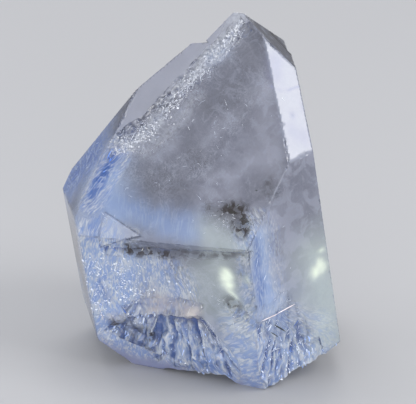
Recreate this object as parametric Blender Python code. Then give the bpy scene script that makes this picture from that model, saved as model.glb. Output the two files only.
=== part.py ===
"""Dumortierite quartz: one natural quartz point, broken off its rock and standing on the break.

Metres, +Z up, the big sloping face towards -Y. Every growth face is cleaved from a block by the
crystal law of quartz: prism faces 60 degrees apart and parallel to the c axis, and one rhombohedral
face above each. Only the distances of the faces from the heart of the crystal, and the breaks, are
this stone's own. Places on a face are in millimetres, to the right along it and up it, counted from
the foot of the heart on that face.
"""

import math

import bmesh
import bpy
from mathutils import Matrix, Vector, noise

MM = 0.001

# How the crystal stands
HEART_HEIGHT = 11.2
HEART = Vector((0.49, -1.01, HEART_HEIGHT)) * MM
LEAN_LEFT, LEAN_FORWARD = math.radians(8.1), math.radians(5.0)
FRONT_TURN = math.radians(23.5)

# The crystal law of quartz
SECTOR = math.radians(60)
PRISM, RHOMB = math.radians(90), math.radians(51.8)

# Growth faces: sector counted from the front, angle from the c axis, distance from the heart
GROWTH_FACES = {
    "front_prism": (0, PRISM, 5.75),
    "right_prism": (1, PRISM, 7.4),
    "right_back_prism": (2, PRISM, 7.0),
    "back_prism": (3, PRISM, 7.4),
    "left_back_prism": (4, PRISM + math.radians(2), 8.75),
    "left_prism": (5.07, PRISM, 8.92),
    "front_rhomb": (0, RHOMB, 4.72),
    "right_rhomb": (1, RHOMB, 8.75),
    "right_back_rhomb": (2, RHOMB, 11.0),
    "back_rhomb": (3, RHOMB, 10.5),
    "left_back_rhomb": (4, RHOMB, 7.85),
    "left_rhomb": (5, RHOMB, 7.6),
}

# The later growth that left the upper left shoulder proud of the rest
MAIN_FRONT = 4.6
APEX_FLANK = (Vector((-0.64, 0.567, 0.519)), 6.45)
NOTCH = (-0.8, 9.79)
SHOULDER_TRIM, TRIM_PAST_NOTCH = (Vector((-0.05, 0.35, 0.935)), 10.55), 0.25
SEAM = ((-7.2, -0.3), (-5.5, 1.9), (-3.2, 4.05), (-1.64, 6.48), (0.25, 9.2), (1.9, 11.5))
SEAM_WIDTH, SEAM_GRAIN = 1.9, 0.2

# Small forms of the front
HILLOCK = ((-4.96, -2.31), (-4.94, -4.66), (-2.03, -3.36))
HILLOCK_RISE = 0.12
LEDGE = ((-5.0, -1.25), (5.3, 0.3))
LEDGE_WIDTH, LEDGE_DEPTH = 0.8, 0.42
CHIP_CENTRE, CHIP_SIZE = (-1.15, -5.15), (5.8, 2.3, 1.1)
CHIP_TURN, CHIP_TIP = math.radians(12), math.radians(-24)

# Growth steps out of sight of the front: face, depth, and the lines that it sinks to the right of
GROWTH_STEPS = (
    ("back_prism", 0.16, [((-6.0, 0.9), (6.0, -1.3))]),
    ("back_prism", 0.34, [((6.0, -4.6), (-6.0, -3.2))]),
    ("left_back_prism", 0.2, [((-1.0, 9.0), (0.4, -9.0)), ((-5.0, 2.6), (5.0, 0.2))]),
    ("right_back_prism", 0.18, [((6.0, -2.9), (-6.0, -1.4)), ((-0.6, -9.0), (1.0, 9.0))]),
    ("back_rhomb", 0.18, [((-2.2, -6.0), (0.8, 6.0))]),
)

# The smooth breaks of the base, as outward directions and distances from the heart
LEFT_UNDERSIDE = (Vector((-0.63, -0.06, -0.77)), 11.92)
RIGHT_UNDERSIDE = (Vector((0.42, 0, -0.908)), 11.76)
LILAC_BREAK = (Vector((-0.34, -0.797, -0.499)), 8.51)

# The lobe: a shell-shaped break at the lower right, with fine splinters, that ends at a rising flank
LOBE_BREAK = (Vector((0.6185, -0.777, -0.1165)), 8.075)
LOBE_CENTRE, LOBE_REACH = (0.2, 1.6), (4.6, 13.4)
LOBE_TURN, LOBE_RIBS = (math.radians(-114), math.radians(-58)), 13
LOBE_FLANK, LOBE_SLOPE, LOBE_RELIEF = ((0.7, -3.2), (1.6, -9.7)), 0.32, 0.22

# The break at the back, and the foot that is left flat: spots and their half widths
BACK_BREAK = (Vector((-0.2, 0.74, -0.64)), 11.2)
BACK_CENTRE, BACK_REACH = (-1.4, 3.4), (2.0, 14.0)
BACK_TURN, BACK_RIBS = (math.radians(-168), math.radians(-12)), 13
FEET = ((0.2, -0.8, 2.9), (3.3, 4.6, 1.3), (-3.9, 1.6, 1.2), (-3.6, -4.2, 1.3), (4.3, -3.4, 1.4))
FOOT_SPREAD, FOOT_HOLLOW = 21.0, 0.75

# The comb: a fan of splinters below the front face, inside three edge lines on that face, which
# leaves the lilac corner standing behind two more
COMB_CENTRE, COMB_REACH = (-0.4, 1.4), (4.6, 13.6)
COMB_TURN, COMB_RIBS = (math.radians(-136), math.radians(-54)), 13
COMB_EDGES = (
    ((-6.3, -8.1), (-3.2, -5.9)),
    ((-3.2, -5.9), (1.7, -5.1)),
    ((1.7, -5.1), (4.3, -9.2)),
)
LILAC_CORNER = (((-1.9, -8.7), (-5.8, -7.7)), ((-3.1, -10.0), (-1.9, -8.7)))
COMB_LIP, COMB_SLOPE, COMB_RELIEF = 0.55, 0.1, 1.0

BLOCK = 60 * MM


def crystal_axes():
    """The c axis, the direction that the front prism face looks in, and the one to its right."""
    c_axis = Vector((-math.tan(LEAN_LEFT), -math.tan(LEAN_FORWARD), 1)).normalized()
    front = Vector((-math.sin(FRONT_TURN), -math.cos(FRONT_TURN), 0))
    front = (front - c_axis * front.dot(c_axis)).normalized()
    return c_axis, front, c_axis.cross(front)


C_AXIS, FRONT, SIDE = crystal_axes()


def growth_plane(name, distance=None):
    """The outward direction of a growth face and its distance from the heart."""
    sector, angle, own_distance = GROWTH_FACES[name]
    level = FRONT * math.cos(sector * SECTOR) + SIDE * math.sin(sector * SECTOR)
    normal = level * math.sin(angle) + C_AXIS * math.cos(angle)
    return normal, own_distance if distance is None else distance


def face_frame(plane):
    """Axes on a plane: X to the right along the level, Y up the plane, Z outwards."""
    normal = plane[0].normalized()
    right = Vector((0, 0, 1)).cross(normal)
    right = right.normalized() if right.length > 0 else Vector((1, 0, 0))
    frame = Matrix((right, normal.cross(right), normal)).transposed().to_4x4()
    frame.translation = HEART + normal * plane[1] * MM
    return frame


def on_face(plane, place, out=0.0):
    return face_frame(plane) @ (Vector((*place, out)) * MM)


def flipped(plane):
    """The same plane looking the other way, for a tool that holds what the plane cuts off."""
    return -plane[0], -plane[1]


def wall(plane, start, end):
    """A plane that stands on a face along the line from start to end and looks to its right."""
    normal = (on_face(plane, end) - on_face(plane, start)).cross(plane[0]).normalized()
    return normal, (on_face(plane, start) - HEART).dot(normal) / MM


def cleave(bm, plane):
    """Cuts off what lies outside the plane and closes the cut with one flat face."""
    normal = plane[0].normalized()
    cut = bmesh.ops.bisect_plane(
        bm,
        geom=bm.verts[:] + bm.edges[:] + bm.faces[:],
        dist=1e-8,
        plane_co=HEART + normal * plane[1] * MM,
        plane_no=normal,
        clear_outer=True,
    )["geom_cut"]
    edges = [item for item in cut if isinstance(item, bmesh.types.BMEdge)]
    if edges:
        bmesh.ops.contextual_create(bm, geom=edges)


def new_object(name, bm, collection):
    """An object made of a bmesh, whose faces are turned outwards first."""
    bmesh.ops.recalc_face_normals(bm, faces=bm.faces)
    if bm.calc_volume(signed=True) < 0:
        bmesh.ops.reverse_faces(bm, faces=bm.faces)
    mesh = bpy.data.meshes.new(name)
    bm.to_mesh(mesh)
    bm.free()
    obj = bpy.data.objects.new(name, mesh)
    collection.objects.link(obj)
    return obj


def block_within(name, planes, collection):
    """The solid that all these planes close in."""
    bm = bmesh.new()
    bmesh.ops.create_cube(bm, size=BLOCK)
    bmesh.ops.translate(bm, vec=HEART, verts=bm.verts)
    for plane in planes:
        cleave(bm, plane)
    return new_object(name, bm, collection)


def rough_block(name, plane, cells, surface, lid, collection):
    """A block whose underside is surface(s, t), with s and t from 0 to 1: right, up and out of the
    plane, in millimetres. Its flat lid is this far out of the plane."""
    bm = bmesh.new()
    bmesh.ops.create_grid(bm, x_segments=cells[0], y_segments=cells[1], size=0.5)
    grown = bmesh.ops.extrude_face_region(bm, geom=bm.faces[:], use_keep_orig=True)["geom"]
    lid_points = {item for item in grown if isinstance(item, bmesh.types.BMVert)}
    for point in bm.verts:
        right, up, out = surface(point.co.x + 0.5, point.co.y + 0.5)
        point.co = Vector((right, up, lid if point in lid_points else out)) * MM
    bmesh.ops.triangulate(bm, faces=bm.faces)
    bmesh.ops.transform(bm, matrix=face_frame(plane), verts=bm.verts)
    return new_object(name, bm, collection)


def apply_tool(stone, tool, operation="DIFFERENCE"):
    tool.hide_render = True
    tool.display_type = "WIRE"
    modifier = stone.modifiers.new(tool.name, "BOOLEAN")
    modifier.operation = operation
    modifier.solver = "EXACT"
    modifier.object = tool


def lumps(x, y, size, seed):
    """Smooth noise from about -1 to 1, with lumps of this size in millimetres."""
    return noise.noise(Vector((x / size, y / size, seed * 7.3)))


def mix(a, b, share):
    return a + (b - a) * share


def along(points, share):
    """The place at a share of the way along a chain of points that are evenly spread."""
    spot = min(share * (len(points) - 1), len(points) - 1.0001)
    index = int(spot)
    start, end = points[index], points[index + 1]
    return mix(start[0], end[0], spot - index), mix(start[1], end[1], spot - index)


def right_of(line, x, y):
    """How far a place lies to the right of a line, in millimetres."""
    (x0, y0), (x1, y1) = line
    return ((x - x0) * (y1 - y0) - (y - y0) * (x1 - x0)) / math.hypot(x1 - x0, y1 - y0)


def make_blank(parts):
    """The whole crystal with its flat growth faces, cut level where it stands."""
    floor = (Vector((0, 0, -1)), HEART_HEIGHT)
    breaks = [floor, LILAC_BREAK, LEFT_UNDERSIDE, RIGHT_UNDERSIDE]
    return block_within("quartz_crystal", [growth_plane(n) for n in GROWTH_FACES] + breaks, parts)


def cut_shoulder(stone, tools):
    """Leaves the upper left shoulder proud: the front and the apex are lowered beside it."""
    front = growth_plane("front_rhomb", MAIN_FRONT)
    seam = wall(front, SEAM[0], SEAM[-1])
    apply_tool(stone, block_within("lower_front", [flipped(front), flipped(seam)], tools))

    ridge = front[0].cross(APEX_FLANK[0]).normalized()
    if ridge.z > 0:
        ridge = -ridge
    notch = (ridge, (on_face(front, NOTCH) - HEART).dot(ridge) / MM)
    apply_tool(stone, block_within("lower_apex", [flipped(APEX_FLANK), notch], tools))
    past_notch = (notch[0], notch[1] - TRIM_PAST_NOTCH)
    corner = [flipped(SHOULDER_TRIM), flipped(past_notch)]
    apply_tool(stone, block_within("shoulder_trim", corner, tools))


def cut_seam(stone, tools):
    """The frosted seam between shoulder and front, a trench of small grains."""
    front = growth_plane("front_rhomb")

    def surface(s, t):
        x, y = along(SEAM, s)
        across = (t - 0.5) * SEAM_WIDTH
        rim = abs(2 * t - 1)
        grain = SEAM_GRAIN * (0.7 + lumps(x * 3 + across * 5, y * 3, 1.0, 1))
        return x + across * 0.8, y - across * 0.6, mix(-grain, 0.12, rim**2) - 0.1 * t

    apply_tool(stone, rough_block("seam_tool", front, (50, 8), surface, 0.6, tools))


def add_hillock(stone, tools):
    """A flat triangular growth hillock low on the front."""
    front = growth_plane("front_rhomb", MAIN_FRONT)
    top = growth_plane("front_rhomb", MAIN_FRONT + HILLOCK_RISE)
    root = growth_plane("front_rhomb", MAIN_FRONT - 0.5)
    below = growth_plane("front_prism", GROWTH_FACES["front_prism"][2] + HILLOCK_RISE)
    a, b, c = HILLOCK
    sides = [wall(front, *side) for side in ((a, b), (b, c), (c, a))]
    hillock = block_within("hillock", [top, below, flipped(root)] + sides, tools)
    apply_tool(stone, hillock, "UNION")


def cut_ledge(stone, tools):
    """The dark re-entrant ledge across the front, just below the edge of the big face."""
    face = growth_plane("front_prism")

    def surface(s, t):
        x, y = along(LEDGE, s)
        depth = LEDGE_DEPTH * (1 - 0.75 * s) * (0.8 + 0.5 * lumps(x, 0, 0.9, 2))
        wave = 0.12 * lumps(x, 5, 1.3, 3)
        profile = ((-0.62, 0.04), (-0.2, -0.45), (0.22, -1.0), (0.3, 0.04))
        up, share = profile[round(3 * t)]
        return x, y + wave + up * LEDGE_WIDTH, share * (depth if share < 0 else 1.0)

    apply_tool(stone, rough_block("ledge_tool", face, (26, 3), surface, 0.6, tools))


def cut_chip(stone, tools):
    """A flat shell-shaped chip above the comb."""
    bm = bmesh.new()
    bmesh.ops.create_icosphere(bm, subdivisions=3, radius=0.5)
    for point in bm.verts:
        point.co *= 1 + 0.3 * noise.noise(point.co * 4)
    size = Matrix.Diagonal((*(side * MM for side in CHIP_SIZE), 1))
    spot = Matrix.Translation(Vector((*CHIP_CENTRE, 0.0)) * MM)
    turn = Matrix.Rotation(CHIP_TURN, 4, "Z") @ Matrix.Rotation(CHIP_TIP, 4, "X")
    frame = face_frame(growth_plane("front_prism"))
    bmesh.ops.transform(bm, matrix=frame @ spot @ turn @ size, verts=bm.verts)
    apply_tool(stone, new_object("chip_tool", bm, tools))


def fan_place(centre, turn_range, reach_range, s, t):
    """A place in an uneven fan: s is the share of its turn, t the share of its reach."""
    uneven = 0.05 * math.sin(math.pi * s) * lumps(s, 0, 0.09, centre[0])
    turn, reach = mix(*turn_range, s + uneven), mix(*reach_range, t)
    return centre[0] + reach * math.cos(turn), centre[1] + reach * math.sin(turn)


def splinter(rib, reach, seed):
    """The height of a splinter, from 0 in the furrow between two ribs to about 1 on a crest. Each
    rib is broken off in steps along its reach."""
    crest = 1 - abs(2 * (rib % 1) - 1)
    step = math.floor(reach * 0.9 + 3 * lumps(int(rib), 0, 1.3, seed))
    return crest * (0.55 + 0.9 * lumps(int(rib) * 1.7, step * 1.3, 1.6, seed))


def cut_comb(stone, tools):
    """A recess of splinters that fan out down the front, three cells wide each."""
    face = growth_plane("front_prism")

    def surface(s, t):
        x, y = fan_place(COMB_CENTRE, COMB_TURN, COMB_REACH, s, t)
        past_corner = max(right_of(edge, x, y) for edge in LILAC_CORNER)
        inside = min(past_corner, *(right_of(edge, x, y) for edge in COMB_EDGES))
        depth = min(1.6 * inside, COMB_LIP + COMB_SLOPE * inside)
        relief = COMB_RELIEF * min(max(inside, 0) / 1.5, 1)
        rise = relief * splinter(s * COMB_RIBS, 10 * t, 4)
        return x, y, rise - depth - 0.12 * lumps(x, y, 0.5, 5)

    apply_tool(stone, rough_block("comb_tool", face, (3 * COMB_RIBS, 20), surface, 3, tools))


def cut_lobe(stone, tools):
    """The shell-shaped break at the lower right."""

    def surface(s, t):
        x, y = fan_place(LOBE_CENTRE, LOBE_TURN, LOBE_REACH, s, t)
        flank = LOBE_SLOPE * max(-right_of(LOBE_FLANK, x, y), 0)
        rise = LOBE_RELIEF * splinter(s * LOBE_RIBS, 10 * t, 6) * min(2 * t, 1)
        return x, y, rise + flank - 0.2 - 0.1 * lumps(x, y, 0.6, 7)

    tool = rough_block("lobe_tool", LOBE_BREAK, (3 * LOBE_RIBS, 18), surface, 3, tools)
    apply_tool(stone, tool)


def cut_back_break(stone, tools):
    """The coarse break where the crystal's back grew on rock."""

    def surface(s, t):
        x, y = fan_place(BACK_CENTRE, BACK_TURN, BACK_REACH, s, t)
        rise = 0.5 * splinter(s * BACK_RIBS, 10 * t, 8) * min(2 * t, 1)
        return x, y, rise - 0.5 * lumps(x, y, 2.4, 9) - 0.1 * lumps(x, y, 0.7, 10)

    tool = rough_block("back_tool", BACK_BREAK, (3 * BACK_RIBS, 14), surface, 5, tools)
    apply_tool(stone, tool)


def cut_foot(stone, tools):
    """Hollows the underside between the flat spots that the crystal stands on."""
    floor = (Vector((0, 0, -1)), HEART_HEIGHT)

    def surface(s, t):
        x, y = (s - 0.5) * FOOT_SPREAD, (t - 0.5) * FOOT_SPREAD
        far = min(math.hypot(x - fx, y - fy) / wide for fx, fy, wide in FEET) - 1
        far = far + 0.3 * lumps(x, y, 1.1, 13)
        hollow = FOOT_HOLLOW * min(max(far, -0.2), 1) * (1 + 0.6 * lumps(x, y, 1.5, 11))
        return x, y, -hollow - (0.15 * lumps(x, y, 0.8, 12) if far > 0 else 0)

    apply_tool(stone, rough_block("foot_tool", floor, (29, 29), surface, 3, tools))


def cut_growth_steps(stone, tools):
    """Low ledges of uneven growth on the faces at the back."""
    for number, (name, depth, lines) in enumerate(GROWTH_STEPS):
        face = growth_plane(name)
        sunk = growth_plane(name, face[1] - depth)
        planes = [flipped(sunk)] + [flipped(wall(face, *line)) for line in lines]
        apply_tool(stone, block_within(f"growth_step_{number}", planes, tools))


def main():
    for obj in list(bpy.data.objects):
        bpy.data.objects.remove(obj, do_unlink=True)
    parts = bpy.data.collections.new("Dumortierite_Quartz")
    tools = bpy.data.collections.new("Tools")
    bpy.context.scene.collection.children.link(parts)
    bpy.context.scene.collection.children.link(tools)

    stone = make_blank(parts)
    cut_shoulder(stone, tools)
    cut_seam(stone, tools)
    add_hillock(stone, tools)
    cut_ledge(stone, tools)
    cut_comb(stone, tools)
    cut_chip(stone, tools)
    cut_lobe(stone, tools)
    cut_growth_steps(stone, tools)
    cut_back_break(stone, tools)
    cut_foot(stone, tools)

    material = bpy.data.materials.new("quartz")
    material.use_nodes = True
    shader = material.node_tree.nodes["Principled BSDF"]
    shader.inputs["Base Color"].default_value = (0.42, 0.47, 0.62, 1)
    shader.inputs["Roughness"].default_value = 0.16
    stone.data.materials.append(material)


main()
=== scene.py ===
"""Dumortierite quartz: the looks of one cloudy quartz point with blue fibres grown into it.

Numbers are millimetres, and Blender gets metres. A place on a growth face is (right, up), counted
from the foot of the crystal's heart on that face, as in the part's source.
"""

import math

import bpy
import numpy as np
from mathutils.bvhtree import BVHTree
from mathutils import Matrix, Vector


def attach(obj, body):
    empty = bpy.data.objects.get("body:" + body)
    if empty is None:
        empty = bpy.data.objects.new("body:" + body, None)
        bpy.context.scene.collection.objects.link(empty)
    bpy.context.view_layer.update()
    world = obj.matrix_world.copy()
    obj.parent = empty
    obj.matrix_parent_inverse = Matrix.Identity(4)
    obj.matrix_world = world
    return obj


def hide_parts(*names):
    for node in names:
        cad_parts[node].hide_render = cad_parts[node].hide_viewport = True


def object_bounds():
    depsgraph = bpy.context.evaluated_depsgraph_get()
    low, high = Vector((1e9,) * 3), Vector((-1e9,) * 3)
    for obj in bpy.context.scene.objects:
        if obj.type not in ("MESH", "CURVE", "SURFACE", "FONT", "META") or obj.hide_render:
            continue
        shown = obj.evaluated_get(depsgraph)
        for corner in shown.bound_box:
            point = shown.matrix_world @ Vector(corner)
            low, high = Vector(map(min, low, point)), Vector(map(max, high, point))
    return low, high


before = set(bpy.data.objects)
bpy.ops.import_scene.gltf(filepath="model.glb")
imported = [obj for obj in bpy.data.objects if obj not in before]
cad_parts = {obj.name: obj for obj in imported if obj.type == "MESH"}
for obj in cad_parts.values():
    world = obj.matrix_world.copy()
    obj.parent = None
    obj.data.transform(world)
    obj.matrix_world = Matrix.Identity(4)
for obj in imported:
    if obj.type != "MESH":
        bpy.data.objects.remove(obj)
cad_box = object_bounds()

MM = 0.001
LOWEST, HIGHEST = (np.array(corner) / MM for corner in cad_box)

# The crystal law of quartz, and how this crystal stands
HEART = np.array([0.49, -1.01, 11.2])
LEAN_LEFT, LEAN_FORWARD = math.radians(8.1), math.radians(5.0)
FRONT_TURN = math.radians(23.5)
SECTOR = math.radians(60)
TOP, FRONT, RIGHT = "front_rhomb", "front_prism", "right_prism"
PRISM, RHOMB = math.radians(90), math.radians(51.8)
GROWTH_FACES = {
    FRONT: (0, PRISM, 5.75),
    RIGHT: (1, PRISM, 7.4),
    "right_back_prism": (2, PRISM, 7.0),
    "back_prism": (3, PRISM, 7.4),
    "left_back_prism": (4, PRISM + math.radians(2), 8.75),
    "left_prism": (5.07, PRISM, 8.92),
    TOP: (0, RHOMB, 4.6),
    "shoulder": (0, RHOMB, 4.72),
    "right_rhomb": (1, RHOMB, 8.75),
    "right_back_rhomb": (2, RHOMB, 11.0),
    "back_rhomb": (3, RHOMB, 10.5),
    "left_back_rhomb": (4, RHOMB, 7.85),
    "left_rhomb": (5, RHOMB, 7.6),
}
BREAKS = {
    "lilac_break": ((-0.34, -0.797, -0.499), 8.51),
    "lobe": ((0.6185, -0.777, -0.1165), 8.075),
    "back_break": ((-0.2, 0.74, -0.64), 11.2),
}
QUARTZ_IOR = 1.544

# Where the camera stands, as in the photograph
CAMERA_RISE = math.radians(24)
CAMERA_DISTANCE, CAMERA_LENS, CAMERA_FILM = 220.0, 287.86, 36.0
TO_CAMERA = np.array([0, -math.cos(CAMERA_RISE), math.sin(CAMERA_RISE)])

# The faces that grew or broke smooth. A point passes into a face's plane between two distances,
# and counts as looking the face's way between two cosines
SMOOTH_FACES = (*GROWTH_FACES, "lilac_break")
IN_PLANE, FACING = (0.03, 0.01), (0.9, 0.97)

# The skin: longest side of its cells on plain faces and near edges, and how sharp a bend counts as
# an edge that begins to wear and as one that is fully worn, and shows as an edge, in degrees
PLAIN_CELL, EDGE_CELL = 0.45, 0.2
SHARP, FULLY_SHARP, CREASE = 0.004, 0.03, 34

# Relief of the skin: how far noise lifts it, and the size of the noise. Lumps also have a seed. A
# splinter rises where its ridge is over the level
RIPPLE, RIPPLE_SIZE = 0.005, 2.2
LUMPS = ((0.03, 0.45, 4), (0.035, 1.1, 7))
CRUST, CRUST_SIZE = -0.05, 0.35
WEAR, NICKS, NICK_SIZE = -0.025, -0.12, 0.7
SPLINTER_RISE, SPLINTER_ACROSS, SPLINTER_ALONG, SPLINTER_LEVEL = 0.2, 0.5, 2.4, 0.6
SPLINTERY = ("comb", "lobe", "back")

# How far the borders of the tones and of the fans are frayed, the size of the noise, seed, layers
TONE_FRAY = (0.45, 1.1, 30, 4)
FAN_FRAY = (0.25, 1.3, 60, 2)


def unit(vectors):
    """Each vector divided by its length."""
    return vectors / np.linalg.norm(vectors, axis=-1, keepdims=True)


def crystal_axes():
    """The c axis, the direction that the front prism face looks in, and the one to its right."""
    c_axis = unit(np.array([-math.tan(LEAN_LEFT), -math.tan(LEAN_FORWARD), 1.0]))
    front = np.array([-math.sin(FRONT_TURN), -math.cos(FRONT_TURN), 0.0])
    front = unit(front - c_axis * front.dot(c_axis))
    return c_axis, front, np.cross(c_axis, front)


def face_frames():
    """For each face its foot of the heart and its axes: right along the level, up, and outwards."""
    c_axis, front, side = crystal_axes()
    planes = {}
    for name, (sector, angle, distance) in GROWTH_FACES.items():
        level = front * math.cos(sector * SECTOR) + side * math.sin(sector * SECTOR)
        planes[name] = (level * math.sin(angle) + c_axis * math.cos(angle), distance)
    planes.update(BREAKS)
    frames = {}
    for name, (normal, distance) in planes.items():
        normal = unit(np.array(normal))
        right = unit(np.cross((0, 0, 1), normal))
        frames[name] = (HEART + normal * distance, right, np.cross(normal, right), normal)
    return frames


FACES = face_frames()


def on_face(name, places, out=0.0):
    """Points in space of (right, up) places on a face, lifted by out."""
    foot, right, up, normal = FACES[name]
    places = np.atleast_2d(np.array(places, float))
    lift = np.broadcast_to(out, len(places))[:, None]
    return foot + places[:, :1] * right + places[:, 1:] * up + lift * normal


def seen_under(name, places, depth):
    """Points under a face that the camera sees at these places: the line of sight is bent at the
    face by the law of refraction and followed until it is depth below the face."""
    normal = FACES[name][3]
    cosine = TO_CAMERA.dot(normal)
    bent = math.sqrt(1 - (1 - cosine**2) / QUARTZ_IOR**2)
    inward = -TO_CAMERA / QUARTZ_IOR + (cosine / QUARTZ_IOR - bent) * normal
    depth = np.broadcast_to(depth, len(places))[:, None]
    return on_face(name, places) + inward / -inward.dot(normal) * depth


def random_at(cells, seed):
    """A number from 0 to 1 for each whole cell, the same on every run: its three counts and the
    seed are multiplied by large odd numbers and stirred together bit by bit."""
    mixed = (cells * np.array([73856093, 19349663, 83492791])).sum(-1) + seed * 2654435761
    mixed = (mixed ^ (mixed >> 15)) * 2246822519
    mixed = (mixed ^ (mixed >> 13)) * 3266489917
    return ((mixed >> 11) & 0xFFFF) / 0xFFFF


def clouds(points, size, seed, layers=1):
    """Soft noise from -1 to 1: random values at the corners of a cubic lattice, blended between
    them by 3t^2 - 2t^3. Each further layer is half the size and half the strength."""
    total, strength = 0.0, 0.0
    for layer in range(layers):
        spot = points / size * 2**layer + seed * 17.31
        cell = np.floor(spot).astype(np.int64)
        share = spot - cell
        share = share * share * (3 - 2 * share)
        for corner in np.ndindex(2, 2, 2):
            weight = np.where(corner, share, 1 - share).prod(-1)
            total = total + weight * (2 * random_at(cell + corner, seed + layer) - 1) / 2**layer
        strength += 0.5**layer
    return total / strength


def frayed(points, reach, size, seed, layers):
    """The points moved aside by noise along each axis, by up to the reach."""
    return points + reach * np.stack([clouds(points, size, seed + i, layers) for i in range(3)], 1)


def smooth_step(low, high, value):
    """3t^2 - 2t^3 of the share t of the way from low to high that a value has gone, from 0 to 1."""
    share = np.clip((value - low) / (high - low), 0, 1)
    return share * share * (3 - 2 * share)


def reach_of(points, chain):
    """Distance of each point from a chain of straight pieces, or from its one point."""
    if len(chain) == 1:
        return np.linalg.norm(points - chain[0], axis=1)
    nearest = np.full(len(points), np.inf)
    for start, end in zip(chain[:-1], chain[1:]):
        span = end - start
        share = np.clip((points - start) @ span / span.dot(span), 0, 1)
        nearest = np.minimum(nearest, np.linalg.norm(points - start - share[:, None] * span, axis=1))
    return nearest


def places_along(line, share):
    """Places on a chain of straight pieces: share counts its whole pieces and a part of the next."""
    line = np.array(line)
    index = share.astype(int)
    return line[index] + (line[index + 1] - line[index]) * (share - index)[:, None]


# The outline of the flat three-cornered hillock on the front rhomb
HILLOCK = ((-4.9, -2.4), (-2.1, -3.2), (-2.4, -3.9), (-4.7, -4.6))

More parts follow.
